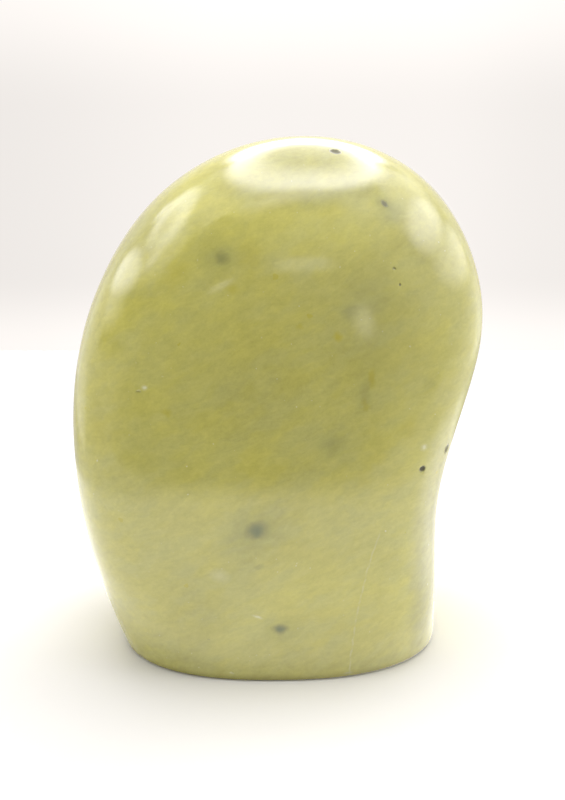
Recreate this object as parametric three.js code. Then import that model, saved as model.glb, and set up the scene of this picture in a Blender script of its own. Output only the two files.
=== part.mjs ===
// Hand-shaped and polished serpentine stone that stands on a flat ground base.
// One natural piece, so one closed solid. Millimetres, +Z up.
// The origin is on the base plane, under the middle of the stone's bounding box.
// +X is to the right and -Y to the front when the broad face is looked at.
import * as THREE from 'three';

// ---- driving dimensions (mm) ------------------------------------------

const HEIGHT = 120;

// Level sections of the stone, from the base up. Each is a rounded oblong around the upright
// working axis: its reach to the left, right, front and back, how far it is sheared towards the
// back over each millimetre to the right, and how square its left and right ends are
// (2 is an ellipse, larger is squarer).
const SECTIONS = [
  { z: 0, left: 37.8, right: 36.9, front: 27.7, back: 29, shear: 0.02, squareLeft: 2.4, squareRight: 2.3 },
  { z: 20, left: 44, right: 36.4, front: 29, back: 31, shear: 0.02, squareLeft: 3, squareRight: 3.7 },
  { z: 40, left: 47, right: 36.2, front: 30.3, back: 31.5, shear: 0.04, squareLeft: 3.5, squareRight: 4.8 },
  { z: 60, left: 47.6, right: 40.4, front: 30.4, back: 31.5, shear: 0.04, squareLeft: 3.6, squareRight: 5 },
  { z: 80, left: 44.2, right: 44.7, front: 29.4, back: 29.5, shear: 0.03, squareLeft: 3.3, squareRight: 4.4 },
  { z: 100, left: 34, right: 40, front: 25.4, back: 23, shear: 0.02, squareLeft: 2.6, squareRight: 3 },
  { z: 112, left: 21.4, right: 29.8, front: 18.5, back: 15.5, shear: 0, squareLeft: 2.2, squareRight: 2.4 },
];

// The crown: where the highest point is, and how round the stone is there, across and front to back.
const CROWN = { x: 5, y: -1, radiusAcross: 46, radiusDeep: 26, square: 2.1 };

// The edge of the ground base is eased by a small bevel.
const EASED_EDGE = 0.7;

// Facets: columns around the stone, and rows from the eased edge to the crown.
const COLUMNS = 72;
const ROWS = 40;

const SERPENTINE_GREEN = 0xb4b070;

// ---- smooth curves through the sections -------------------------------

/**
 * Cubic curve through (knots[i], values[i]), with no bending at its first knot and level at its last.
 * Returns the function that reads it.
 */
function smoothCurve(knots, values) {
  const last = knots.length - 1;
  const step = knots.slice(1).map((knot, i) => knot - knots[i]);
  const slope = step.map((width, i) => (values[i + 1] - values[i]) / width);

  // Bending (second derivative) at each knot, by elimination down the band and back up.
  const upper = [0];
  const right = [0];
  for (let i = 1; i <= last; i += 1) {
    const ahead = i < last ? step[i] : 0;
    const slopeAhead = i < last ? slope[i] : 0;
    const pivot = 2 * (step[i - 1] + ahead) - step[i - 1] * upper[i - 1];
    upper[i] = ahead / pivot;
    right[i] = (6 * (slopeAhead - slope[i - 1]) - step[i - 1] * right[i - 1]) / pivot;
  }
  const bend = new Array(last + 1);
  bend[last] = right[last];
  for (let i = last - 1; i >= 0; i -= 1) bend[i] = right[i] - upper[i] * bend[i + 1];

  return (at) => {
    let i = 0;
    while (i < last - 1 && at > knots[i + 1]) i += 1;
    const width = step[i];
    const along = at - knots[i];
    return values[i]
      + along * (slope[i] - (width * (2 * bend[i] + bend[i + 1])) / 6)
      + (along ** 2 * bend[i]) / 2
      + (along ** 3 * (bend[i + 1] - bend[i])) / (6 * width);
  };
}

// A section is read at its latitude, which is 0 at the base and a quarter turn at the crown. A reach
// is divided by the cosine of the latitude before it is interpolated, so that it closes as a dome.
const latitudeOf = (z) => Math.asin(z / HEIGHT);
const leanX = (z) => (CROWN.x * z) / HEIGHT;
const leanY = (z) => (CROWN.y * z) / HEIGHT;
const latitudes = [...SECTIONS.map(({ z }) => latitudeOf(z)), Math.PI / 2];

function reachCurve(reachOf, crownRadius) {
  const reaches = SECTIONS.map((section) => reachOf(section) / Math.cos(latitudeOf(section.z)));
  return smoothCurve(latitudes, [...reaches, Math.sqrt(crownRadius * HEIGHT)]);
}

function plainCurve(name, atCrown) {
  return smoothCurve(latitudes, [...SECTIONS.map((section) => section[name]), atCrown]);
}

const reach = {
  left: reachCurve(({ z, left }) => left + leanX(z), CROWN.radiusAcross),
  right: reachCurve(({ z, right }) => right - leanX(z), CROWN.radiusAcross),
  front: reachCurve(({ z, front }) => front + leanY(z), CROWN.radiusDeep),
  back: reachCurve(({ z, back }) => back - leanY(z), CROWN.radiusDeep),
};
const shearAt = plainCurve('shear', 0);
const squareLeftAt = plainCurve('squareLeft', CROWN.square);
const squareRightAt = plainCurve('squareRight', CROWN.square);

/** Point of the skin at a latitude and at an angle around, which starts at +X and goes over +Y. */
function skinPoint(latitude, around) {
  const z = HEIGHT * Math.sin(latitude);
  const shrink = Math.cos(latitude);
  const left = leanX(z) - reach.left(latitude) * shrink;
  const right = leanX(z) + reach.right(latitude) * shrink;
  const front = leanY(z) - reach.front(latitude) * shrink;
  const back = leanY(z) + reach.back(latitude) * shrink;

  const c = Math.cos(around);
  const s = Math.sin(around);
  const square = c > 0 ? squareRightAt(latitude) : squareLeftAt(latitude);
  const radius = (Math.abs(c) ** square + Math.abs(s) ** square) ** (-1 / square);
  const sideways = ((right - left) / 2) * radius * c;
  const deep = ((back - front) / 2) * radius * s + shearAt(latitude) * sideways;
  return new THREE.Vector3((left + right) / 2 + sideways, (front + back) / 2 + deep, z);
}

// ---- the solid --------------------------------------------------------

/** Ring of points around the stone at one latitude. */
function ring(latitude) {
  return Array.from({ length: COLUMNS }, (_, i) => skinPoint(latitude, (2 * Math.PI * i) / COLUMNS));
}

/** The base outline, drawn in by the eased edge. */
function baseRing() {
  const outline = ring(0);
  const middle = outline.reduce((sum, point) => sum.add(point), new THREE.Vector3()).divideScalar(COLUMNS);
  return outline.map((point) => {
    const out = point.clone().sub(middle);
    return middle.clone().addScaledVector(out, 1 - EASED_EDGE / out.length());
  });
}

function stoneGeometry() {
  const lowest = latitudeOf(EASED_EDGE);
  const rings = [baseRing()];
  for (let row = 0; row < ROWS; row += 1) {
    rings.push(ring(lowest + ((Math.PI / 2 - lowest) * row) / ROWS));
  }
  const crown = new THREE.Vector3(CROWN.x, CROWN.y, HEIGHT);
  const baseMiddle = rings[0].reduce((sum, point) => sum.add(point), new THREE.Vector3()).divideScalar(COLUMNS);
  const points = [...rings.flat(), crown, baseMiddle];
  const crownIndex = points.length - 2;
  const baseIndex = points.length - 1;

  const faces = [];
  for (let i = 0; i < COLUMNS; i += 1) {
    const next = (i + 1) % COLUMNS;
    faces.push(baseIndex, next, i);
    for (let row = 0; row < rings.length - 1; row += 1) {
      const here = row * COLUMNS;
      const above = here + COLUMNS;
      faces.push(here + i, here + next, above + next);
      faces.push(here + i, above + next, above + i);
    }
    const top = (rings.length - 1) * COLUMNS;
    faces.push(top + i, top + next, crownIndex);
  }

  const geometry = new THREE.BufferGeometry().setFromPoints(points);
  geometry.setIndex(faces);
  return geometry;
}

/** Moves a geometry so that the middle of its bounding box is over the origin. */
function centreOnBase(geometry) {
  geometry.computeBoundingBox();
  const middle = geometry.boundingBox.getCenter(new THREE.Vector3());
  geometry.translate(-middle.x, -middle.y, 0);
  geometry.computeVertexNormals();
  return geometry;
}

// ---- the model --------------------------------------------------------

const polishedStone = new THREE.MeshStandardMaterial({
  color: SERPENTINE_GREEN,
  roughness: 0.18,
  metalness: 0,
});

const stone = new THREE.Mesh(centreOnBase(stoneGeometry()), polishedStone);
stone.name = 'stone';

const model = new THREE.Group();
model.add(stone);

export default model;
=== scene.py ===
"""Polished serpentine freeform on a flat ground base: the finished stone and the light tent it stands in.

Lengths are written in millimetres and multiplied by MM. The part's frame is +Z up with the origin on the
base plane, under the middle of the stone's bounding box. -Y is the front of the broad face.
"""
import math

import bmesh
import bpy
import numpy as np
from mathutils import Matrix, Vector


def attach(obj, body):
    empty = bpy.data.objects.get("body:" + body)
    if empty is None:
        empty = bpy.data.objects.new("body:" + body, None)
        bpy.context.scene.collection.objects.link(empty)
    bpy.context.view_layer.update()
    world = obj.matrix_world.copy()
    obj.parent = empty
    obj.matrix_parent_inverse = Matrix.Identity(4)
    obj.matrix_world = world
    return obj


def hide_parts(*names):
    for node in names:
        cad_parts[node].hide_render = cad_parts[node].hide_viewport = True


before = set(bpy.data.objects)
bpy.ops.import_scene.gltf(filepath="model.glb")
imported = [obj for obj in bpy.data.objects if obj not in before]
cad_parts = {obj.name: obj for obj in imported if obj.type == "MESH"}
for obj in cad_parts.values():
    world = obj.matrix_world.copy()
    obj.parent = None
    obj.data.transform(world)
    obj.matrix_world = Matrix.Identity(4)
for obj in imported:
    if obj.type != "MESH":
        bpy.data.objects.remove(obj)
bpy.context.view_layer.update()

MM = 0.001

# ---- the stone's form (mm), as in the solid but with a rounder foot ----

HEIGHT = 120.0
CROWN_X, CROWN_Y = 5.0, -1.0
CROWN_ACROSS, CROWN_DEEP = 46.0, 26.0
CROWN_SQUARE = 2.1
EASED_EDGE = 1.0          # radius of the rounding where the side meets the ground base

# Level sections: height, reach to the left, right, front and back of the working axis, shear towards
# the back for each millimetre to the right, and how square the left and right ends are.
SECTIONS = (
    (0, 37.8, 36.9, 27.7, 29.0, 0.02, 2.4, 2.3),
    (20, 44.0, 36.4, 29.0, 31.0, 0.02, 3.0, 3.7),
    (40, 47.0, 36.2, 30.3, 31.5, 0.04, 3.5, 4.8),
    (60, 47.6, 40.4, 30.4, 31.5, 0.04, 3.6, 5.0),
    (80, 44.2, 44.7, 29.4, 29.5, 0.03, 3.3, 4.4),
    (100, 34.0, 40.0, 25.4, 23.0, 0.02, 2.6, 3.0),
    (112, 21.4, 29.8, 18.5, 15.5, 0.0, 2.2, 2.4),
)

# Rows and columns of the fine skin.
COLUMNS = 384
BASE_ROWS, EDGE_ROWS, BODY_ROWS = 20, 8, 180
FRONT_CROWDING = 0.3      # columns stand closer together on the front
UNDULATION = 0.1          # depth of the slight hollows left by hand polishing
UNDULATION_SIZE = 22.0
UNDULATION_FULL = 8.0     # they grow from nothing at the eased edge to their full depth at this height
UNDULATION_SEED = 3.0
WELD = 0.001              # closes the seam and the two poles of the grid

# Small hollows: pits in the polish, scratches and chips on the edge of the base. Each has its middle, its
# reach (across, deep, up), how many degrees it rises to the right and how deep it is.
HOLLOWS = (
    ((12.9, -10.2, 118.1), (1.15, 1.0, 2.0), 0, 0.4),
    ((-29.2, -29.7, 69.9), (0.65, 3.0, 0.38), 12, 0.2),
    ((32.1, -26.8, 51.2), (0.8, 3.0, 0.85), -40, 0.35),
    ((37.8, -22.0, 54.2), (0.54, 2.5, 1.15), -12, 0.3),
    ((25.0, -26.0, 95.8), (0.5, 3.0, 0.28), -20, 0.15),
    ((26.2, -26.8, 92.5), (0.35, 3.0, 0.35), 0, 0.15),
    ((-10.1, -28.2, 2.1), (0.65, 3.0, 0.35), -8, 0.12),
    ((9.6, -27.9, 1.1), (0.5, 3.0, 0.4), 0, 0.14),
    ((16.5, -26.6, 1.2), (1.1, 3.0, 0.45), 8, 0.16),
    ((-31.6, -17.6, 0.8), (1.0, 2.5, 0.6), 0, 0.2),
)
HOLLOW_CUTS = 4           # how often an edge is split there
HOLLOW_MARGIN = 1.2       # the split patch reaches past the hollow by this factor
HOLLOW_SPARE = 0.5        # and by this much more


# ---- node trees -------------------------------------------------------

class Net:
    """Adds nodes to a tree, one call for each. Values are numbers, vectors or other nodes' outputs."""

    def __init__(self, tree):
        self.tree = tree

    def add(self, kind, sockets=None, **settings):
        node = self.tree.nodes.new(kind)
        for name, value in settings.items():
            setattr(node, name, value)
        for key, value in (sockets or {}).items():
            if isinstance(value, bpy.types.NodeSocket):
                self.tree.links.new(value, node.inputs[key])
            else:
                node.inputs[key].default_value = value
        return node

    def math(self, operation, *values):
        return self.add("ShaderNodeMath", dict(enumerate(values)), operation=operation).outputs[0]

    def vector(self, operation, *values):
        return self.add("ShaderNodeVectorMath", dict(enumerate(values)), operation=operation).outputs[0]

    def scaled(self, vector, amount):
        return self.add("ShaderNodeVectorMath", {0: vector, "Scale": amount}, operation="SCALE").outputs[0]

    def total(self, *values):
        made = values[0]
        for value in values[1:]:
            made = self.math("ADD", made, value)
        return made

    def product(self, *values):
        made = values[0]
        for value in values[1:]:
            made = self.math("MULTIPLY", made, value)
        return made

    def step(self, value, start, end, low=0.0, high=1.0):
        """Low up to the start, high from the end on, and a smooth rise between them."""
        return self.add("ShaderNodeMapRange", {
            "Value": value, "From Min": start, "From Max": end, "To Min": low, "To Max": high,
        }, interpolation_type="SMOOTHSTEP").outputs[0]

    def mix(self, share, first, second, blend="MIX"):
        return self.add("ShaderNodeMix", {0: share, 6: first, 7: second},
                        data_type="RGBA", blend_type=blend).outputs[2]

    def noise(self, point, size, detail=2.0, roughness=0.5, output=0):
        return self.add("ShaderNodeTexNoise", {
            "Vector": point, "Scale": 1.0 / size, "Detail": detail, "Roughness": roughness,
        }).outputs[output]

    def wander(self, point, size, amount):
        """The point, pushed about by up to the given amount over the given size."""
        push = self.vector("SUBTRACT", self.noise(point, size, 2.0, output=1), (0.5, 0.5, 0.5))
        return self.vector("ADD", point, self.scaled(push, 2.0 * amount))

    def turned(self, point, degrees, sizes):
        """The point measured in the given sizes along axes that rise by an angle to the right."""
        return self.add("ShaderNodeMapping", {
            "Vector": point, "Rotation": (0.0, math.radians(-degrees), 0.0), "Scale": sizes,
        }, vector_type="TEXTURE").outputs[0]


def curve_weights(knots, values):
    """The cubic through the knots, straight-ended at the first and level at the last, as
    start + slope * x + sum(weight * |x - knot| ** 3)."""
    n = len(knots)
    rows = np.zeros((n + 2, n + 2))
    gaps = np.abs(knots[:, None] - knots[None, :])
    rows[:n, 0] = 1
    rows[:n, 1] = knots
    rows[:n, 2:] = gaps ** 3
    rows[n, 2:] = gaps[0]                                   # no bending at the first knot
    rows[n + 1, 1] = 1                                      # level at the last
    rows[n + 1, 2:] = 3 * gaps[-1] ** 2
    return np.linalg.solve(rows, np.array([*values, 0, 0]))


def form_curves():
    """Knots in latitude, and each section value's weights over them."""
    z, left, right, front, back, shear, square_left, square_right = np.array(SECTIONS, float).T
    latitude = np.arcsin(z / HEIGHT)
    lean_x, lean_y = CROWN_X * z / HEIGHT, CROWN_Y * z / HEIGHT
    across, deep = math.sqrt(CROWN_ACROSS * HEIGHT), math.sqrt(CROWN_DEEP * HEIGHT)
    knots = np.array([*latitude, math.pi / 2])

    def reach(values, at_crown):
        return curve_weights(knots, [*(values / np.cos(latitude)), at_crown])

    curves = {
        "left": reach(left + lean_x, across),
        "right": reach(right - lean_x, across),
        "front": reach(front + lean_y, deep),
        "back": reach(back - lean_y, deep),
        "shear": curve_weights(knots, [*shear, 0]),
        "square left": curve_weights(knots, [*square_left, CROWN_SQUARE]),
        "square right": curve_weights(knots, [*square_right, CROWN_SQUARE]),
    }
    return knots, curves


def skin_tree():
    """Geometry nodes that lay a grid round the stone's form, close it and hollow it slightly."""
    tree = bpy.data.node_groups.new("stone skin", "GeometryNodeTree")
    for name, kind, value in (
        ("Height", "NodeSocketFloat", HEIGHT),
        ("Eased Edge", "NodeSocketFloat", EASED_EDGE),
        ("Columns", "NodeSocketInt", COLUMNS),
        ("Base Rows", "NodeSocketInt", BASE_ROWS),
        ("Edge Rows", "NodeSocketInt", EDGE_ROWS),
        ("Body Rows", "NodeSocketInt", BODY_ROWS),
        ("Front Crowding", "NodeSocketFloat", FRONT_CROWDING),
        ("Undulation", "NodeSocketFloat", UNDULATION),
        ("Undulation Size", "NodeSocketFloat", UNDULATION_SIZE),
        ("Seed", "NodeSocketFloat", UNDULATION_SEED),
        ("Material", "NodeSocketMaterial", None),
    ):
        socket = tree.interface.new_socket(name, in_out="INPUT", socket_type=kind)
        if value is not None:
            socket.default_value = value
    tree.interface.new_socket("Geometry", in_out="OUTPUT", socket_type="NodeSocketGeometry")

    net = Net(tree)
    m = net.math
    given = net.add("NodeGroupInput").outputs
    height, eased = given["Height"], given["Eased Edge"]

    # A flat grid, one unit each way: along it are the columns, up it the rows.
    base_rows, edge_rows, body_rows = given["Base Rows"], given["Edge Rows"], given["Body Rows"]
    all_rows = net.total(base_rows, edge_rows, body_rows)
    grid = net.add("GeometryNodeMeshGrid", {
        "Size X": 1.0, "Size Y": 1.0,
        "Vertices X": m("ADD", given["Columns"], 1.0), "Vertices Y": m("ADD", all_rows, 1.0),
    })
    flat = net.add("ShaderNodeSeparateXYZ", {0: net.add("GeometryNodeInputPosition").outputs[0]})
    turn = m("MULTIPLY", m("ADD", flat.outputs[0], 0.5), 2 * math.pi)
    around = m("SUBTRACT", turn, m("MULTIPLY", given["Front Crowding"], m("COSINE", turn)))
    row = m("MULTIPLY", m("ADD", flat.outputs[1], 0.5), all_rows)

    def stretch(first, count):
        share = net.add("ShaderNodeClamp", {0: m("DIVIDE", m("SUBTRACT", row, first), count)})
        return share.outputs[0]

    in_base = stretch(0.0, base_rows)
    in_edge = m("MULTIPLY", stretch(base_rows, edge_rows), math.pi / 2)
    in_body = stretch(m("ADD", base_rows, edge_rows), body_rows)

    # Rows run out over the base, round the eased edge and up the body to the crown.
    edge_z = m("MULTIPLY", eased, m("SUBTRACT", 1.0, m("COSINE", in_edge)))
    inset = m("MULTIPLY", eased, m("SUBTRACT", 1.0, m("SINE", in_edge)))
    body_span = m("SUBTRACT", math.pi / 2, m("ARCSINE", m("DIVIDE", eased, height)))
    latitude = m("ADD", m("ARCSINE", m("DIVIDE", edge_z, height)), m("MULTIPLY", body_span, in_body))
    shrink = m("COSINE", latitude)
    z = m("MULTIPLY", height, m("SINE", latitude))

    knots, curves = form_curves()
    cubes = [m("POWER", m("ABSOLUTE", m("SUBTRACT", latitude, float(knot))), 3.0) for knot in knots]

    def read(name):
        start, slope, *weights = (float(w) for w in curves[name])
        value = m("MULTIPLY_ADD", latitude, slope, start)
        for cube, weight in zip(cubes, weights):
            value = m("MULTIPLY_ADD", cube, weight, value)
        return value

    def side(name, lean, sign):
        reach = m("MULTIPLY", m("MULTIPLY", read(name), shrink), sign)
        return m("ADD", m("MULTIPLY", z, lean / HEIGHT), reach)

    left, right = side("left", CROWN_X, -1.0), side("right", CROWN_X, 1.0)
    front, back = side("front", CROWN_Y, -1.0), side("back", CROWN_Y, 1.0)

    # The rounded oblong: radius = (|cos| ** n + |sin| ** n) ** (-1 / n).
    c, s = m("COSINE", around), m("SINE", around)
    on_right = m("GREATER_THAN", c, 0.0)
    square = net.add("GeometryNodeSwitch", {
        "Switch": on_right, "False": read("square left"), "True": read("square right"),
    }, input_type="FLOAT").outputs[0]
    powers = m("ADD", m("POWER", m("ABSOLUTE", c), square), m("POWER", m("ABSOLUTE", s), square))
    radius = m("POWER", powers, m("DIVIDE", -1.0, square))
    sideways = m("MULTIPLY", m("MULTIPLY", m("SUBTRACT", right, left), 0.5), m("MULTIPLY", radius, c))
    deep = m("ADD", m("MULTIPLY", m("MULTIPLY", m("SUBTRACT", back, front), 0.5), m("MULTIPLY", radius, s)),
             m("MULTIPLY", read("shear"), sideways))

    # Base rows shrink towards the middle, and the eased edge draws the outline in.
    reach = m("SQRT", m("ADD", m("POWER", sideways, 2.0), m("POWER", deep, 2.0)))
    share = m("MULTIPLY", in_base, m("SUBTRACT", 1.0, m("DIVIDE", inset, reach)))
    place = net.add("ShaderNodeCombineXYZ", {
        0: m("MULTIPLY_ADD", sideways, share, m("MULTIPLY", m("ADD", left, right), 0.5)),
        1: m("MULTIPLY_ADD", deep, share, m("MULTIPLY", m("ADD", front, back), 0.5)),
        2: z,
    })
    formed = net.add("GeometryNodeSetPosition", {
        "Geometry": grid.outputs["Mesh"], "Position": place.outputs[0],
    })
    welded = net.add("GeometryNodeMergeByDistance", {"Geometry": formed.outputs[0], "Distance": WELD})

    # Slight hollows: the polished skin is drawn in along its normal, and the ground base stays flat.
    point = net.add("GeometryNodeInputPosition").outputs[0]
    noise = net.add("ShaderNodeTexNoise", {
        "Vector": net.add("ShaderNodeVectorMath", {
            0: point, 1: net.add("ShaderNodeCombineXYZ", {
                i: m("DIVIDE", 1.0, given["Undulation Size"]) for i in range(3)}).outputs[0],
        }, operation="MULTIPLY").outputs[0],
        "W": given["Seed"], "Scale": 1.0, "Detail": 1.0,
    }, noise_dimensions="4D")
    above_base = net.add("ShaderNodeMapRange", {
        "Value": net.add("ShaderNodeSeparateXYZ", {0: point}).outputs[2],
        "From Min": EASED_EDGE, "From Max": UNDULATION_FULL,
    }, interpolation_type="SMOOTHSTEP").outputs[0]
    depth = m("MULTIPLY", noise.outputs[0], given["Undulation"])
    depth = m("MULTIPLY", depth, m("MULTIPLY", above_base, -1.0))
    drawn_in = net.add("ShaderNodeVectorMath", {
        0: net.add("GeometryNodeInputNormal").outputs[0], "Scale": depth,
    }, operation="SCALE")
    hollowed = net.add("GeometryNodeSetPosition", {
        "Geometry": welded.outputs[0], "Offset": drawn_in.outputs[0],
    })

    # To metres, with the middle of the bounding box over the origin.
    box = net.add("GeometryNodeBoundBox", {"Geometry": welded.outputs[0]})
    middle = net.add("ShaderNodeVectorMath", {
        0: net.add("ShaderNodeVectorMath", {
            0: box.outputs["Min"], 1: box.outputs["Max"]}, operation="ADD").outputs[0],
        1: (-0.5 * MM, -0.5 * MM, 0.0),
    }, operation="MULTIPLY")
    placed = net.add("GeometryNodeTransform", {
        "Geometry": hollowed.outputs[0], "Translation": middle.outputs[0], "Scale": (MM, MM, MM),
    })
    smooth = net.add("GeometryNodeSetShadeSmooth", {"Geometry": placed.outputs[0]})
    real = net.add("GeometryNodeRealizeInstances", {"Geometry": smooth.outputs[0]})
    finished = net.add("GeometryNodeSetMaterial", {
        "Geometry": real.outputs[0], "Material": given["Material"],
    })
    net.add("NodeGroupOutput", {0: finished.outputs[0]})
    return tree


def plain_mesh(name, tree, settings):
    """Runs a geometry tree on an empty mesh and returns the result as an object of its own."""
    maker = bpy.data.objects.new(name, bpy.data.meshes.new(name))
    bpy.context.scene.collection.objects.link(maker)
    modifier = maker.modifiers.new(tree.name, "NODES")
    modifier.node_group = tree
    named = {item.name: item.identifier for item in tree.interface.items_tree if item.in_out == "INPUT"}
    for key, value in settings.items():
        modifier[named[key]] = value
    ready = maker.evaluated_get(bpy.context.evaluated_depsgraph_get())
    mesh = bpy.data.meshes.new_from_object(ready)
    maker.modifiers.remove(modifier)
    old, maker.data = maker.data, mesh
    bpy.data.meshes.remove(old)
    mesh.name = name
    return maker


def carve(mesh):
    """Splits the skin finely where a hollow is, and presses the hollow into it."""
    skin = bmesh.new()
    skin.from_mesh(mesh)
    for middle, reach, _, _ in HOLLOWS:
        middle = Vector(middle) * MM
        near = HOLLOW_MARGIN * max(reach[0], reach[2]) * MM + HOLLOW_SPARE * MM
        edges = [edge for edge in skin.edges if all((v.co - middle).length < near for v in edge.verts)]
        bmesh.ops.subdivide_edges(skin, edges=edges, cuts=HOLLOW_CUTS, smooth=1.0, use_grid_fill=True)
    skin.normal_update()

    pressed = {}
    for middle, reach, rise, depth in HOLLOWS:
        middle = Vector(middle) * MM
        turn = Matrix.Rotation(math.radians(rise), 3, "Y")
        for vertex in skin.verts:
            if (vertex.co - middle).length > max(reach) * MM:
                continue
            local = turn @ (vertex.co - middle)
            away = math.sqrt(sum((along / (size * MM)) ** 2 for along, size in zip(local, reach)))
            if away < 1.0:
                press = depth * MM * (1.0 - away ** 3) ** 2
                pressed[vertex] = max(press, pressed.get(vertex, 0.0))
    moves = {vertex: vertex.normal * -press for vertex, press in pressed.items()}
    for vertex, move in moves.items():
        vertex.co += move
    skin.to_mesh(mesh)
    skin.free()


def make_stone(material):
    stone = plain_mesh("polished_stone", skin_tree(), {"Material": material})
    carve(stone.data)
    return stone


# ---- serpentine -------------------------------------------------------

LEAF = (0.453, 0.431, 0.121, 1.0)       # the even yellow-green body
HONEY = (0.486, 0.453, 0.095, 1.0)      # warmer clouds
SAGE = (0.431, 0.423, 0.150, 1.0)       # greyer clouds and fibres
SLATE = (0.155, 0.172, 0.070, 1.0)      # dark inclusions seen through the stone
PITCH = (0.040, 0.036, 0.015, 1.0)      # grains of black ore, and painted shade in the small hollows
OCHRE = (0.440, 0.385, 0.033, 1.0)      # rusty flecks
CHALK = (0.640, 0.640, 0.450, 1.0)      # bruised or chipped stone, and a painted glint on the rim of one small hollow
FOOT_SHADE = (0.180, 0.155, 0.020, 1.0)       # painted shade along the foot, just above the ground base

IOR = 1.56
POLISH = 0.105                          # roughness of the clean polish
UNDER_SKIN = (1.0, 0.92, 0.45)          # how deep red, green and blue light go into the stone
UNDER_SKIN_SHARE, UNDER_SKIN_DEPTH = 0.3, 0.003

# The slant of the fibres and of the patches drawn out along them: degrees, and their proportions.
FIBRE_SLANT = (25, (1.7, 1.0, 0.6))
PATCH_SLANT = (28, (1.6, 1.0, 0.75))
LAP_LINES = (0, (6.0, 0.16, 1.0))       # left by the flat lapping of the base

# How far each of these lightens or darkens the stone.
PALE_SHARE, DEEP_SHARE = 0.14, -0.12
MOTTLE_SHARE, BLOTCH_SHARE, FIBRE_SHARE, GRAIN_SHARE = 0.30, 0.12, 0.20, 0.16

# Heights in the bump (mm).
GRAIN_RISE, FIBRE_RISE, LAP_RISE = 0.0022, 0.0015, 0.02

# Sizes of the noises in the stone (mm), from the broad clouds to the fine grain.
CLOUD_SIZE, PATCH_SIZE, WARM_SIZE, MOTTLE_SIZE = 24.0, 5.6, 4.2, 2.5
BLOTCH_SIZE, FIBRE_SIZE, GRAIN_SIZE = 1.1, 1.0, 0.34
PATCH_MIX, WARM_MIX = 0.45, 0.41        # how far patches go to SAGE and warm ones to HONEY

# How points are pushed about before they are read: over what size, and how far (mm).
LOOSELY, CLOSELY, DRIFTING, RAGGEDLY = (3.0, 1.0), (0.9, 0.3), (26.0, 7.0), (1.2, 0.6)

# Scattered spots: size of the cells, largest reach of a spot (mm), and the share of cells that have one.
PALE_SCATTER, RUST_SCATTER, BLACK_SCATTER = (1.5, 0.20, 0.35), (7.0, 0.8, 0.22), (17.0, 0.55, 0.22)
FAR_CELL, FAR_SHARE = 26.0, 0.55        # the same for the inclusions of the sides and back

# In y: where the scattered marks of the sides and back begin to show, and where they show fully.
SIDE_START, SIDE_FULL = -12.0, -4.0

# In z: where the ground base ends and is full, and the same for the painted shade at the foot.
GROUND, FOOT = (0.2, 0.05), (2.3, 0.2)

# What each of these adds to the roughness.
PATCH_DULLS, GRAIN_DULLS, SHADE_DULLS = 0.03, 0.03, 0.03
BRUISE_AND_GLINT_DULLS, GROUND_DULLS, BLACK_DULLS = 0.3, 0.36, 0.45

# The healed crack: x at the base, and how x grows with z and with its square.
CRACK = (16.8, 0.024, 0.0038)
CRACK_WIGGLE = 0.8
CRACK_EDGE = (0.34, 0.03)               # distance from its path where it ends and is full
CRACK_TOP = (44.0, 30.0)                # it fades out between these heights
CRACK_MIX = 0.2

# Broad paler and deeper clouds on the front, partly the stone's own tone and partly painted light and
# painted shade, and the marks on the stone. Each has its middle, its reach (across, deep, up), how many
# degrees it rises to the right, how soft its edge is and how strong it is.
# Paler clouds: partly the stone's own tone, partly painted light on the left of the face, the right flank
# and under the crown.
PALE_CLOUDS_AND_PAINTED_LIGHT = (
    ((8.5, -30.0, 17.0), (22.0, 9.0, 10.0), 0, 0.8, 0.45),
    ((30.1, -28.4, 60.9), (5.5, 9.0, 15.0), 0, 0.9, 0.65),
    ((35.2, -26.7, 81.0), (5.0, 9.0, 11.0), 0, 0.9, 0.7),
    ((8.5, -23.0, 104.6), (14.0, 8.0, 5.4), 0, 0.9, 1.15),
    ((-20.0, -29.5, 81.0), (15.0, 9.0, 20.0), 0, 0.9, 0.6),
    ((-10.5, -29.0, 9.0), (6.0, 8.0, 6.0), 0, 0.9, 0.7),
    ((25.0, -29.0, 41.0), (6.0, 8.0, 8.0), 0, 0.9, 0.45),
    ((28.5, -26.5, 95.5), (6.0, 8.0, 4.0), 0, 0.9, 0.5),
)
# Deeper clouds: partly the stone's own tone, partly painted shade on the crown, the upper shoulders, the
# lower right flank and the bottom of the front.
DEEP_CLOUDS_AND_PAINTED_SHADE = (
    ((6.5, -15.5, 115.2), (19.0, 11.5, 7.7), 0, 0.4, 2.5),
    ((-28.5, -17.0, 100.0), (10.0, 10.0, 5.0), 50, 0.7, 1.5),
    ((31.0, -20.0, 102.5), (11.0, 10.0, 6.0), -49, 0.7, 1.3),
    ((-6.4, -30.9, 71.7), (12.0, 8.0, 11.0), 20, 0.9, 0.65),
    ((16.3, -29.4, 82.4), (5.5, 8.0, 13.0), -6, 0.9, 0.6),
    ((13.8, -30.4, 60.4), (5.0, 8.0, 7.0), 20, 0.9, 0.25),
    ((1.9, -30.9, 49.0), (8.0, 8.0, 4.5), 20, 0.9, 0.5),
    ((-7.9, -30.8, 32.0), (4.0, 8.0, 8.0), 0, 0.9, 0.65),
    ((-36.3, -25.7, 24.0), (6.0, 9.0, 10.0), 0, 0.8, 0.35),
    ((-17.2, -29.5, 13.0), (7.0, 9.0, 13.0), 0, 0.8, 0.9),
    ((2.0, -28.5, 3.0), (44.0, 10.0, 8.0), 0, 0.8, 0.9),
    ((35.5, -18.0, 28.0), (6.0, 10.0, 30.0), 0, 0.4, 2.3),
    ((-3.5, -30.0, 79.5), (7.0, 8.0, 5.0), 0, 0.9, 0.5),
    ((-31.8, -20.3, 92.5), (6.0, 8.0, 5.0), 0, 0.9, 1.1),
    ((15.5, -28.0, 8.5), (14.0, 8.0, 9.0), 0, 0.9, 0.75),
    ((1.2, -30.9, 41.5), (4.5, 8.0, 9.0), 0, 0.9, 0.65),
)
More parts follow.
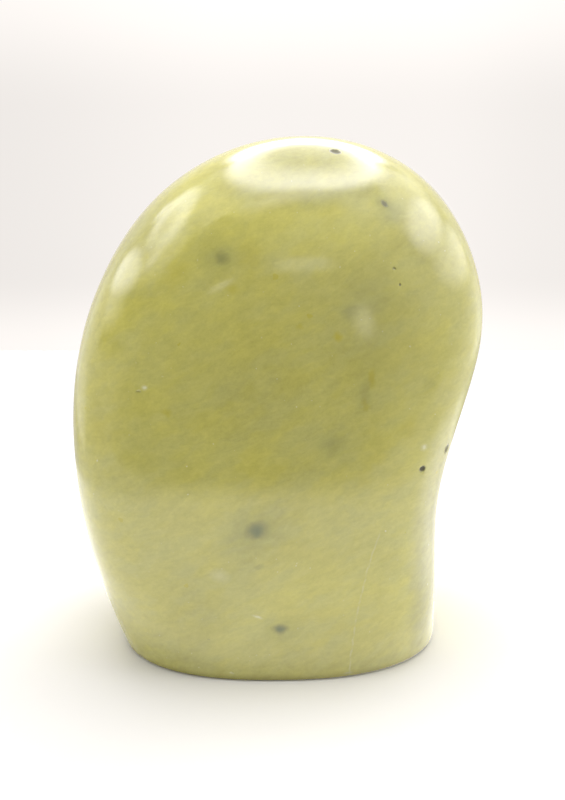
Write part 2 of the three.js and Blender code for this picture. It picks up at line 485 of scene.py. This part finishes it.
INCLUSIONS = (
    ((-4.1, -31.0, 38.2), (2.3, 5.0, 1.85), 25, 1.0, 1.0),
    ((-4.9, -31.0, 37.5), (4.8, 6.0, 4.2), 25, 1.0, 0.28),
    ((-3.6, -30.6, 29.4), (0.8, 5.0, 0.6), 10, 0.8, 0.30),
    ((1.1, -29.2, 13.55), (1.55, 5.0, 1.15), 8, 0.95, 1.0),
    ((1.5, -29.2, 13.2), (3.8, 5.0, 2.4), 0, 1.0, 0.24),
    ((-11.4, -26.1, 98.2), (1.5, 5.0, 1.35), 0, 1.0, 0.6),
    ((-12.3, -26.1, 98.2), (3.2, 5.0, 2.9), 0, 1.0, 0.24),
    ((23.4, -19.8, 108.1), (1.7, 5.0, 1.1), -35, 1.0, 0.5),
    ((24.3, -20.2, 107.0), (3.0, 5.0, 1.9), -38, 1.0, 0.26),
    ((15.7, -28.9, 86.6), (1.9, 5.0, 2.2), 30, 1.0, 0.24),
    ((12.0, -30.5, 58.1), (2.2, 5.0, 1.9), 20, 1.0, 0.34),
    ((19.3, -30.0, 69.3), (1.3, 5.0, 4.2), -12, 1.0, 0.24),
    ((22.0, -28.0, 86.0), (5.0, 6.0, 13.0), -8, 1.0, 0.13),
)
# Near-black spots over the small hollows and a few specks: partly dark grains, partly painted shade in the
# hollows.
BLACK_SPECKS_AND_PIT_SHADE = (
    ((32.1, -26.8, 51.2), (0.70, 3.0, 0.76), -40, 0.35, 0.95),
    ((37.8, -22.0, 54.2), (0.46, 3.0, 1.05), -12, 0.4, 0.75),
    ((12.9, -10.2, 118.1), (1.3, 1.0, 3.0), 0, 0.35, 0.93),
    ((23.1, -19.7, 108.4), (0.8, 3.0, 0.42), -42, 0.5, 0.85),
    ((25.0, -26.0, 95.8), (0.38, 3.0, 0.22), -20, 0.5, 0.5),
    ((26.2, -26.8, 92.5), (0.22, 3.0, 0.27), 0, 0.4, 0.7),
    ((-29.2, -29.7, 69.9), (0.5, 4.0, 0.28), 12, 0.9, 0.2),
    ((-15.2, -29.3, 10.8), (0.24, 3.0, 0.18), 0, 0.5, 0.4),
)
RUSTY_FLECKS = (
    ((13.2, -29.6, 82.0), (0.95, 4.0, 0.9), 0, 0.6, 0.75),
    ((20.5, -29.8, 72.9), (0.65, 4.0, 1.7), 0, 0.7, 0.6),
    ((19.2, -30.0, 66.9), (0.7, 4.0, 1.2), 20, 0.7, 0.4),
    ((5.2, -29.6, 84.2), (0.7, 4.0, 0.6), 0, 0.7, 0.4),
    ((-23.1, -31.1, 65.5), (1.0, 4.0, 0.9), 0, 0.7, 0.45),
    ((-38.1, -27.2, 61.5), (2.6, 5.0, 3.4), 0, 1.0, 0.20),
    ((-21.3, -25.2, 95.4), (3.4, 5.0, 2.2), 50, 1.0, 0.26),
    ((-5.3, -26.8, 98.0), (2.2, 5.0, 2.0), 0, 1.0, 0.26),
    ((-9.1, -28.4, 91.9), (1.1, 5.0, 0.9), 0, 0.9, 0.38),
    ((19.4, -30.0, 49.8), (1.6, 5.0, 1.6), 0, 1.0, 0.25),
    ((29.1, -28.7, 60.9), (1.6, 5.0, 3.2), 0, 1.0, 0.22),
)
# Pale chipped and bruised stone; the first is also a painted glint on the rim of the small scuff beside it.
BRUISES_AND_GLINT = (
    ((-27.8, -29.9, 70.8), (0.5, 4.0, 0.42), 12, 1.0, 0.7),
    ((-12.4, -30.8, 27.3), (1.7, 5.0, 1.2), -20, 1.0, 0.24),
    ((-4.1, -29.9, 16.8), (1.1, 4.0, 0.35), -20, 0.6, 0.45),
    ((32.3, -27.3, 56.4), (0.55, 4.0, 0.6), 0, 1.0, 0.58),
    ((-10.1, -28.2, 2.1), (0.5, 3.0, 0.26), -8, 0.6, 0.4),
    ((16.5, -26.6, 1.2), (0.9, 3.0, 0.32), 8, 0.7, 0.35),
    ((-31.6, -17.3, 0.5), (1.0, 1.5, 0.5), 0, 0.5, 0.5),
)


def mark_group():
    """A soft spot of any proportions, laid over the spots before it."""
    tree = bpy.data.node_groups.new("mark", "ShaderNodeTree")
    for name, kind in (
        ("Point", "NodeSocketVector"), ("Before", "NodeSocketFloat"), ("Middle", "NodeSocketVector"),
        ("Reach", "NodeSocketVector"), ("Turn", "NodeSocketVector"), ("Softness", "NodeSocketFloat"),
        ("Strength", "NodeSocketFloat"),
    ):
        tree.interface.new_socket(name, in_out="INPUT", socket_type=kind)
    tree.interface.new_socket("Mask", in_out="OUTPUT", socket_type="NodeSocketFloat")
    net = Net(tree)
    given = net.add("NodeGroupInput").outputs
    local = net.add("ShaderNodeMapping", {
        "Vector": given["Point"], "Location": given["Middle"],
        "Rotation": given["Turn"], "Scale": given["Reach"],
    }, vector_type="TEXTURE").outputs[0]
    distance = net.add("ShaderNodeVectorMath", {0: local}, operation="LENGTH").outputs["Value"]
    outer = net.math("ADD", 1.0, given["Softness"])
    inner = net.math("SUBTRACT", 1.0, given["Softness"])
    mask = net.product(net.step(distance, outer, inner), given["Strength"])
    net.add("NodeGroupOutput", {0: net.math("MAXIMUM", given["Before"], mask)})
    return tree


def placed(net, mark, point, spots, before=0.0):
    """A row of soft spots, over an even value before them."""
    mask = before
    for middle, reach, rise, softness, strength in spots:
        mask = net.add("ShaderNodeGroup", {
            "Point": point, "Before": mask, "Middle": middle, "Reach": reach,
            "Turn": (0.0, math.radians(-rise), 0.0), "Softness": softness, "Strength": strength,
        }, node_tree=mark).outputs[0]
    return mask


def scattered(net, point, cell, size, share):
    """Small spots, at most one to a cell, in the given share of the cells."""
    cells = net.add("ShaderNodeTexVoronoi", {"Vector": point, "Scale": 1.0 / cell})
    chance = net.add("ShaderNodeSeparateColor", {0: cells.outputs["Color"]})
    reach = net.product(chance.outputs[1], size / cell)
    spot = net.math("LESS_THAN", cells.outputs["Distance"], net.math("MAXIMUM", reach, 0.3 * size / cell))
    return net.product(spot, net.math("LESS_THAN", chance.outputs[0], share))


def serpentine(mark):
    """Body, flecks, inclusions, crack, grains and foot, with painted light and shade among them, all laid
    out in the stone's own millimetres.
    """
    material = bpy.data.materials.new("polished serpentine")
    material.use_nodes = True
    tree = material.node_tree
    tree.nodes.clear()
    net = Net(tree)
    m = net.math

    point = net.scaled(net.add("ShaderNodeTexCoord").outputs["Object"], 1000.0)
    axes = net.add("ShaderNodeSeparateXYZ", {0: point})
    x, y, z = axes.outputs
    loose = net.wander(point, *LOOSELY)
    close = net.wander(point, *CLOSELY)
    drift = net.wander(point, *DRIFTING)
    ragged = net.wander(point, *RAGGEDLY)
    drawn = net.turned(loose, *PATCH_SLANT)

    # The body: broad clouds, smaller ones, mottling, slanting fibres and a fine grain.
    cloud = net.step(net.noise(point, CLOUD_SIZE, 2.0), 0.35, 0.65)
    patch = net.step(net.noise(drawn, PATCH_SIZE, 2.0, 0.5), 0.38, 0.68)
    elsewhere = net.vector("ADD", drawn, (50.0, 0.0, 0.0))
    warm = net.step(net.noise(elsewhere, WARM_SIZE, 2.0, 0.5), 0.46, 0.76)
    mottle = net.noise(drawn, MOTTLE_SIZE, 2.0, 0.6)
    blotch = net.noise(net.vector("ADD", loose, (0.0, 90.0, 0.0)), BLOTCH_SIZE, 1.0, 0.5)
    fibre = net.noise(net.turned(drift, *FIBRE_SLANT), FIBRE_SIZE, 3.0, 0.6)
    grain = net.noise(point, GRAIN_SIZE, 2.0, 0.6)
    colour = net.mix(cloud, LEAF, tuple(0.4 * a + 0.6 * b for a, b in zip(LEAF, HONEY)))
    colour = net.mix(net.product(patch, PATCH_MIX), colour, SAGE)
    colour = net.mix(net.product(warm, WARM_MIX), colour, HONEY)
    # The listed paler and deeper clouds lay painted light and painted shade over the stone's own clouds.
    tone = net.total(
        1.0, net.product(placed(net, mark, loose, PALE_CLOUDS_AND_PAINTED_LIGHT), PALE_SHARE),
        net.product(placed(net, mark, loose, DEEP_CLOUDS_AND_PAINTED_SHADE), DEEP_SHARE),
        *(net.product(m("SUBTRACT", noise, 0.5), share) for noise, share in (
            (mottle, MOTTLE_SHARE), (blotch, BLOTCH_SHARE), (fibre, FIBRE_SHARE), (grain, GRAIN_SHARE))))
    colour = net.scaled(colour, tone)

    # Pale and rusty flecks everywhere, and dark inclusions round the sides and back.
    gather = net.step(net.noise(point, 9.0, 2.0), 0.42, 0.62, 0.25, 1.0)
    pale_flecks = net.product(scattered(net, close, *PALE_SCATTER), gather, 0.55)
    colour = net.mix(pale_flecks, colour, CHALK)
    rust = net.product(scattered(net, ragged, *RUST_SCATTER), 0.5)
    rust = m("MAXIMUM", rust, placed(net, mark, ragged, RUSTY_FLECKS))
    colour = net.mix(rust, colour, OCHRE)
    behind = net.step(y, SIDE_START, SIDE_FULL)
    far_cells = net.add("ShaderNodeTexVoronoi", {"Vector": loose, "Scale": 1.0 / FAR_CELL})
    far_chance = net.add("ShaderNodeSeparateColor", {0: far_cells.outputs["Color"]}).outputs[0]
    far_spot = net.product(net.step(far_cells.outputs["Distance"], 0.15, 0.02),
                           m("LESS_THAN", far_chance, FAR_SHARE), behind, 0.8)
    shade = m("MAXIMUM", far_spot, placed(net, mark, loose, INCLUSIONS))
    colour = net.mix(shade, colour, SLATE)

    # A healed hairline crack that climbs to the right from the base.
    at_base, grows, curves = CRACK
    path = net.total(at_base, net.product(z, grows), net.product(z, z, curves),
                     net.product(m("SUBTRACT", net.noise(point, 2.2, 2.0), 0.5), CRACK_WIGGLE))
    vein = net.product(net.step(m("ABSOLUTE", m("SUBTRACT", x, path)), *CRACK_EDGE),
                       net.step(z, *CRACK_TOP), net.step(y, -12.0, -20.0),
                       net.step(net.noise(point, 1.6, 2.0), 0.40, 0.55, 0.25, 1.0))
    colour = net.mix(net.product(vein, CRACK_MIX), colour, CHALK)

    # Pale bruises and chips, with one painted glint at a scuff's rim.
    bruise_and_glint = placed(net, mark, close, BRUISES_AND_GLINT)
    colour = net.mix(bruise_and_glint, colour, CHALK)
    # Near-black: dark grains, and painted shade in the small hollows.
    black = placed(net, mark, close, BLACK_SPECKS_AND_PIT_SHADE)
    black = m("MAXIMUM", black, net.product(scattered(net, close, *BLACK_SCATTER), behind))
    colour = net.mix(black, colour, PITCH)

    # The foot is darkened with painted shade, and the ground base is duller and paler than the polish.
    ground = net.step(z, *GROUND)
    foot = net.product(net.step(z, *FOOT), m("SUBTRACT", 1.0, ground))
    # Painted shade: the lowest 2 mm of the side darken towards the floor.
    colour = net.mix(net.product(foot, 0.6), colour, FOOT_SHADE)
    lap = net.noise(net.turned(point, *LAP_LINES), 1.0, 3.0, 0.6)
    colour = net.mix(net.product(ground, 0.22), colour, CHALK)
    roughness = net.total(POLISH, *(net.product(mask, dulls) for mask, dulls in (
        (patch, PATCH_DULLS), (grain, GRAIN_DULLS), (bruise_and_glint, BRUISE_AND_GLINT_DULLS),
        (ground, GROUND_DULLS), (shade, SHADE_DULLS), (black, BLACK_DULLS))))

    height = net.total(
        net.product(grain, GRAIN_RISE), net.product(fibre, FIBRE_RISE), net.product(ground, lap, LAP_RISE))
    bump = net.add("ShaderNodeBump", {"Strength": 1.0, "Distance": MM, "Height": height}).outputs[0]
    shader = net.add("ShaderNodeBsdfPrincipled", {
        "Base Color": colour, "Roughness": roughness, "IOR": IOR, "Normal": bump,
        "Subsurface Weight": UNDER_SKIN_SHARE, "Subsurface Radius": UNDER_SKIN,
        "Subsurface Scale": UNDER_SKIN_DEPTH,
    })
    net.add("ShaderNodeOutputMaterial", {"Surface": shader.outputs[0]})
    return material


# ---- the stage --------------------------------------------------------

CAMERA_AT = (1.5, -330.7, 165.0)
CAMERA_PITCH = 17.86
CAMERA_LENS, CAMERA_SENSOR = 66.68, 36.0
CAMERA_CLIP = (0.01, 20.0)                 # metres

# The light tent: a white box round the stone, open at the front, with a ring lamp under the roof.
TENT_HALF_WIDTH = 200.0
TENT_FRONT, TENT_BACK = -148.0, 247.0
TENT_HEIGHT = 400.0
FAR = 3000.0                               # half the width of the floor and the back wall
BACK_WALL_HEIGHT = 600.0
LAMP_WHITE = (1.0, 0.99, 0.98)
TENT_WHITE = (1.0, 0.985, 0.975)
WALL_WHITE = (1.0, 0.965, 0.94)
BACK_WHITE = (1.045, 1.0, 0.962)
WALL_BASE, WALL_MIDDLE = 0.962, 0.823      # brightness at its foot and behind the stone
FLOOR_WHITE = (0.86, 0.853, 0.85)
DAYLIGHT = 0.95

# The painted light and shade on the back wall: how its brightness changes, smoothly across it and up it:
# from, to and by what factor.
WALL_ACROSS = ((-120.0, -10.0, 1.105), (55.0, 115.0, 0.94))
WALL_UP = (
    (0.0, 32.0, WALL_MIDDLE / WALL_BASE),
    (95.0, 145.0, WALL_BASE / WALL_MIDDLE),
    (145.0, 175.0, 1.16),
)

# How bright the mirrored cards are in general, and the brighter places on them. Each place has its
# middle (along the card, 0, up it), its reach, how many degrees it rises along the card, how soft its
# edge is and how bright it is. The clear places let the real floor show.
LEFT_CLOTH, RIGHT_CLOTH, DARK_ROOM, MIRRORED_FLOOR = 0.15, 1.3, 0.1, 1.3
LEFT_GLOW = (
    ((50.0, 0.0, -900.0), (4000.0, 9.0, 996.0), 0, 0.012, 1.05),
    ((170.0, 0.0, 200.0), (172.0, 9.0, 400.0), 0, 0.12, 1.3),
    ((70.0, 0.0, 25.0), (70.0, 9.0, 60.0), 0, 0.6, 1.7),
    ((50.0, 0.0, 410.0), (230.0, 9.0, 60.0), 0, 0.5, 1.8),
    ((-30.0, 0.0, 272.0), (105.0, 9.0, 80.0), 0, 0.6, 2.2),
    ((55.0, 0.0, 296.0), (122.0, 9.0, 72.0), 15, 0.4, 6.1),
    ((140.0, 0.0, 258.0), (38.0, 9.0, 32.0), 0, 0.7, 4.9),
    ((-45.0, 0.0, 235.0), (30.0, 9.0, 30.0), 0, 0.8, 4.5),
    ((15.0, 0.0, 132.0), (62.0, 9.0, 20.0), -5, 0.8, 2.3),
    ((40.0, 0.0, 173.0), (86.0, 9.0, 33.0), -12, 0.5, 5.5),
)
LEFT_DIM = (((32.0, 0.0, 262.0), (52.0, 9.0, 26.0), 25, 0.9, 0.38),)
RIGHT_GLOW = (
    ((40.0, 0.0, 10.0), (170.0, 9.0, 150.0), 0, 0.7, 2.2),
    ((60.0, 0.0, 330.0), (260.0, 9.0, 130.0), 0, 0.6, 3.6),
    ((150.0, 0.0, 400.0), (160.0, 9.0, 60.0), 0, 0.7, 4.6),
    ((-6.0, 0.0, 250.0), (136.0, 9.0, 52.0), -8, 0.6, 7.1),
    ((14.0, 0.0, 165.0), (138.0, 9.0, 42.0), -8, 0.7, 4.5),
)
MOUTH_GLOW = (
    ((-225.0, 0.0, 20.0), (90.0, 9.0, 110.0), 0, 0.9, 0.9),
    ((165.0, 0.0, 230.0), (140.0, 9.0, 230.0), 0, 0.8, 1.5),
    ((190.0, 0.0, 370.0), (190.0, 9.0, 120.0), 0, 0.6, 2.4),
    ((-10.0, 0.0, 410.0), (80.0, 9.0, 92.0), 0, 0.7, 4.5),
)
FLOOR_GLOW = (
    ((210.0, 0.0, 0.0), (70.0, 9.0, 300.0), 0, 0.2, 1.9),
    ((0.0, 0.0, 0.0), (141.0, 9.0, 141.0), 0, 0.06, 2.2),
    ((104.0, 0.0, -16.0), (60.0, 9.0, 58.0), 0, 0.9, 3.6),
    ((135.0, 0.0, 40.0), (40.0, 9.0, 60.0), 0, 0.9, 2.8),
)
FLOOR_CLEAR = (
    ((-6.0, 0.0, 1.0), (47.0, 9.0, 34.0), 0, 0.2, 1.0),
    ((46.0, 0.0, 42.0), (24.0, 9.0, 50.0), 0, 0.6, 0.55),
)
# Painted shadow on the floor, in front of the stone and to its left.
FLOOR_PAINTED_SHADOW = (((-58.0, 0.0, -52.0), (44.0, 9.0, 34.0), 0, 0.6, 0.085),)

# The ring lamp: the lit disc, its duller middle, and the cloth round it.
RING_GLOW = 11.8
RING = (((13.0, 0.0, 155.0), (166.0, 9.0, 292.0), 0, 0.12, 1.0),)
RING_HOLE = (((18.0, 0.0, 176.0), (104.0, 9.0, 198.0), 0, 0.45, 1.0),)
RING_HOLE_SHARE = 0.67
RING_CLOTH, RING_CLOTH_SPOT = 1.9, (((192.0, 0.0, 130.0), (46.0, 9.0, 150.0), 0, 0.7, 6.0),)
RING_FADE = (-120.0, 40.0, 0.84, 1.0)      # it is a little duller on the left: from, to, and how bright
RING_CARD_FOOT = 100.0                     # its card comes down the back wall to this height

# Small lights in the room: name, middle on the mouth, reach, rise and brightness.
GLEAMS = (
    ("room_bar", (13.8, 0.0, 143.6), (14.0, 9.0, 10.6), -4, 2.4),
    ("room_streak", (-35.3, 0.0, 130.3), (10.0, 9.0, 4.5), 20, 3.0),
    ("room_oval", (39.5, 0.0, 85.0), (5.0, 9.0, 13.5), 0, 3.4),
)
GLEAM_WHITE = (1.0, 1.0, 0.98)
GLEAM_SOFTNESS = 0.3
GLEAM_CARD = (25, 30)                      # half its width and half its height


def make_camera():
    data = bpy.data.cameras.new("camera")
    data.lens = CAMERA_LENS
    data.sensor_width = CAMERA_SENSOR
    data.clip_start, data.clip_end = CAMERA_CLIP
    camera = bpy.data.objects.new("camera", data)
    camera.location = Vector(CAMERA_AT) * MM
    camera.rotation_euler = (math.radians(90 - CAMERA_PITCH), 0.0, 0.0)
    bpy.context.scene.collection.objects.link(camera)
    bpy.context.scene.camera = camera


def card(name, squares, material, seen_by):
    """Flat stage cards. Each square is four corners (mm), each with its place on the card (mm), and
    only the named kinds of ray see it."""
    mesh = bpy.data.meshes.new(name)
    corners = [corner for square in squares for corner in square]
    faces = [tuple(range(4 * i, 4 * i + 4)) for i in range(len(squares))]
    mesh.from_pydata([Vector(at) * MM for at, _ in corners], [], faces)
    places = mesh.uv_layers.new(name="card")
    for loop, (_, place) in enumerate(corners):
        places.data[loop].uv = place
    mesh.materials.append(material)
    made = bpy.data.objects.new(name, mesh)
    bpy.context.scene.collection.objects.link(made)
    for kind in ("camera", "diffuse", "glossy", "transmission", "shadow"):
        setattr(made, f"visible_{kind}", kind in seen_by)


def floor_like(z, left, right, front, back):
    return [((x, y, z), (x, y)) for x, y in ((left, front), (right, front), (right, back), (left, back))]


def wall_across(y, left, right, low, high):
    return [((x, y, z), (x, z)) for x, z in ((left, low), (right, low), (right, high), (left, high))]


def wall_along(x, front, back, low, high):
    return [((x, y, z), (y, z)) for y, z in ((front, low), (back, low), (back, high), (front, high))]


def glow(name, colour, strength=1.0):
    """A material that only gives light."""
    material = bpy.data.materials.new(name)
    material.use_nodes = True
    material.node_tree.nodes.clear()
    net = Net(material.node_tree)
    light = net.add("ShaderNodeEmission", {"Color": (*colour, 1.0), "Strength": strength})
    net.add("ShaderNodeOutputMaterial", {"Surface": light.outputs[0]})
    return material, net, light


def through(material, net, light, share):
    """Lets the given share of the light through the card instead."""
    clear = net.add("ShaderNodeBsdfTransparent").outputs[0]
    mixed = net.add("ShaderNodeMixShader", {0: share, 1: light.outputs[0], 2: clear})
    output = material.node_tree.nodes["Material Output"]
    material.node_tree.links.new(mixed.outputs[0], output.inputs[0])


def on_card(net):
    """The place on the card, laid out as (along, 0, up)."""
    place = net.add("ShaderNodeSeparateXYZ", {0: net.add("ShaderNodeUVMap", uv_map="card").outputs[0]})
    return net.add("ShaderNodeCombineXYZ", {0: place.outputs[0], 2: place.outputs[1]}).outputs[0]


def lit_cloth(name, mark, base, spots, dims=()):
    """Cloth of an even brightness with brighter and dimmer places."""
    material, net, light = glow(name, TENT_WHITE)
    at = on_card(net)
    strength = placed(net, mark, at, spots, base)
    if dims:
        strength = net.product(strength, net.math("SUBTRACT", 1.0, placed(net, mark, at, dims)))
    material.node_tree.links.new(strength, light.inputs["Strength"])
    return material


def ring_lamp(mark):
    """The ring, its duller middle and the cloth round it, laid out over the roof and down the back wall."""
    material, net, light = glow("ring lamp", LAMP_WHITE)
    at = on_card(net)
    ring = placed(net, mark, at, RING)
    hole = placed(net, mark, at, RING_HOLE)
    across, _, up = net.add("ShaderNodeSeparateXYZ", {0: at}).outputs
    level = net.math("SUBTRACT", 1.0, net.product(hole, RING_HOLE_SHARE))
    level = net.product(level, net.step(across, *RING_FADE))
    cloth = placed(net, mark, at, RING_CLOTH_SPOT, RING_CLOTH)
    level = net.total(cloth, net.product(ring, net.math("SUBTRACT", net.product(level, RING_GLOW), cloth)))
    material.node_tree.links.new(level, light.inputs["Strength"])
    low_on_wall = net.step(up, TENT_BACK + 150.0, TENT_BACK + 220.0)
    left_on_wall = net.product(net.math("GREATER_THAN", up, TENT_BACK), net.step(across, 60.0, 20.0))
    clear = net.math("MAXIMUM", low_on_wall, left_on_wall)
    through(material, net, light, net.product(clear, net.math("SUBTRACT", 1.0, ring)))
    return material


def back_wall_white():
    """Glows a little greyer behind the stone and brighter to the right and high up, as painted light and
    shade, and is clear from behind, so that the stone can be seen from there.
    """
    material, net, light = glow("back wall", BACK_WHITE)
    across, _, rise = net.add("ShaderNodeSeparateXYZ", {0: on_card(net)}).outputs
    level = WALL_BASE
    for place, shades in ((across, WALL_ACROSS), (rise, WALL_UP)):
        for start, end, factor in shades:
            level = net.product(level, net.step(place, start, end, 1.0, factor))
    material.node_tree.links.new(level, light.inputs["Strength"])
    through(material, net, light, net.add("ShaderNodeNewGeometry").outputs["Backfacing"])
    return material


def floor_white(mark):
    """A plain floor, a touch greyer in the foreground where a shadow is painted on it."""
    material = bpy.data.materials.new("white floor")
    material.use_nodes = True
    shader = material.node_tree.nodes["Principled BSDF"]
    net = Net(material.node_tree)
    greyer = placed(net, mark, on_card(net), FLOOR_PAINTED_SHADOW)
    colour = net.scaled(FLOOR_WHITE, net.math("SUBTRACT", 1.0, greyer))
    material.node_tree.links.new(colour, shader.inputs["Base Color"])
    shader.inputs["Roughness"].default_value = 0.9
    shader.inputs["Specular IOR Level"].default_value = 0.1
    return material


def mirrored_floor(mark):
    """The round white floor and the duller one beyond it, as the polish mirrors them."""
    material, net, light = glow("mirrored floor", TENT_WHITE)
    at = on_card(net)
    fading = net.step(net.add("ShaderNodeSeparateXYZ", {0: at}).outputs[2], 5.0, 110.0, 1.0, 0.55)
    level = net.product(placed(net, mark, at, FLOOR_GLOW, MIRRORED_FLOOR), fading)
    material.node_tree.links.new(level, light.inputs["Strength"])
    through(material, net, light, placed(net, mark, at, FLOOR_CLEAR))
    return material


def make_tent(mark):
    """The floor and the back wall that are seen, the cloth that lights the stone, and what it mirrors."""
    w, h, front, back = TENT_HALF_WIDTH, TENT_HEIGHT, TENT_FRONT, TENT_BACK
    everything = ("camera", "diffuse", "glossy", "transmission", "shadow")
    card("floor", [floor_like(0, -FAR, FAR, -FAR, FAR)], floor_white(mark), everything)
    card("back_wall", [wall_across(back, -FAR, FAR, 0, BACK_WALL_HEIGHT)], back_wall_white(), everything)

    # The soft light from each part of the cloth.
    for name, square, level in (
        ("roof_front", floor_like(h, -w, w, front, -16), 3.2),
        ("roof_middle", floor_like(h, -w, w, -16, 115), 4.9),
        ("roof_back", floor_like(h, -w, w, 115, back), 1.6),
        ("left_low", wall_along(-w, front, back, 0, 130), 1.35),
        ("left_middle", wall_along(-w, front, back, 130, 260), 0.2),
        ("left_high", wall_along(-w, front, back, 260, h), 0.6),
        ("right_low", wall_along(w, front, back, 0, 130), 2.5),
        ("right_middle", wall_along(w, front, back, 130, 260), 0.2),
        ("right_high", wall_along(w, front, back, 260, h), 0.8),
        ("mouth_left", wall_across(front, -w, -67, 0, h), 0.6),
        ("mouth_middle", wall_across(front, -67, 67, 0, h), 0.88),
        ("mouth_right", wall_across(front, 67, w, 0, h), 0.1),
    ):
        card(name, [square], glow(name.replace("_", " "), TENT_WHITE, level)[0], ("diffuse",))

    # What the polish mirrors. The ring's card goes on from the roof down the back wall.
    corners = ((-w, h), (w, h), (w, RING_CARD_FOOT), (-w, RING_CARD_FOOT))
    down_the_wall = [((x, back - 1, z), (x, back + h - z)) for x, z in corners]
    for name, squares, material in (
        ("mirrored_left", [wall_along(-w, front, back, 0, h)],
         lit_cloth("left cloth", mark, LEFT_CLOTH, LEFT_GLOW, LEFT_DIM)),
        ("mirrored_right", [wall_along(w, front, back, 0, h)],
         lit_cloth("right cloth", mark, RIGHT_CLOTH, RIGHT_GLOW)),
        ("mirrored_mouth", [wall_across(front, -w, w, 0, h)],
         lit_cloth("dark room", mark, DARK_ROOM, MOUTH_GLOW)),
        ("mirrored_floor", [floor_like(0.3, -w, w, front, back)], mirrored_floor(mark)),
        ("mirrored_ring", [floor_like(h, -w, w, front, back), down_the_wall], ring_lamp(mark)),
    ):
        card(name, squares, material, ("glossy",))


def make_daylight():
    world = bpy.data.worlds.new("soft daylight")
    world.use_nodes = True
    background = world.node_tree.nodes["Background"]
    background.inputs["Color"].default_value = (*WALL_WHITE, 1.0)
    background.inputs["Strength"].default_value = DAYLIGHT
    bpy.context.scene.world = world


def make_gleams(mark):
    """Small lights in the room beyond the tent's mouth, which only the polish mirrors."""
    front = TENT_FRONT + 1
    wide, high = GLEAM_CARD
    for name, middle, reach, rise, level in GLEAMS:
        material, net, light = glow(name.replace("_", " "), GLEAM_WHITE, level)
        mask = placed(net, mark, on_card(net), ((middle, reach, rise, GLEAM_SOFTNESS, 1.0),))
        through(material, net, light, net.math("SUBTRACT", 1.0, mask))
        x, _, z = middle
        card(name, [wall_across(front, x - wide, x + wide, z - high, z + high)], material, ("glossy",))


# ---- putting it together ----------------------------------------------

soft_mark = mark_group()
make_camera()
make_tent(soft_mark)
make_daylight()
make_gleams(soft_mark)

stone = make_stone(serpentine(soft_mark))
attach(stone, "root")
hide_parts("stone")

bpy.context.scene.view_settings.view_transform = "Standard"
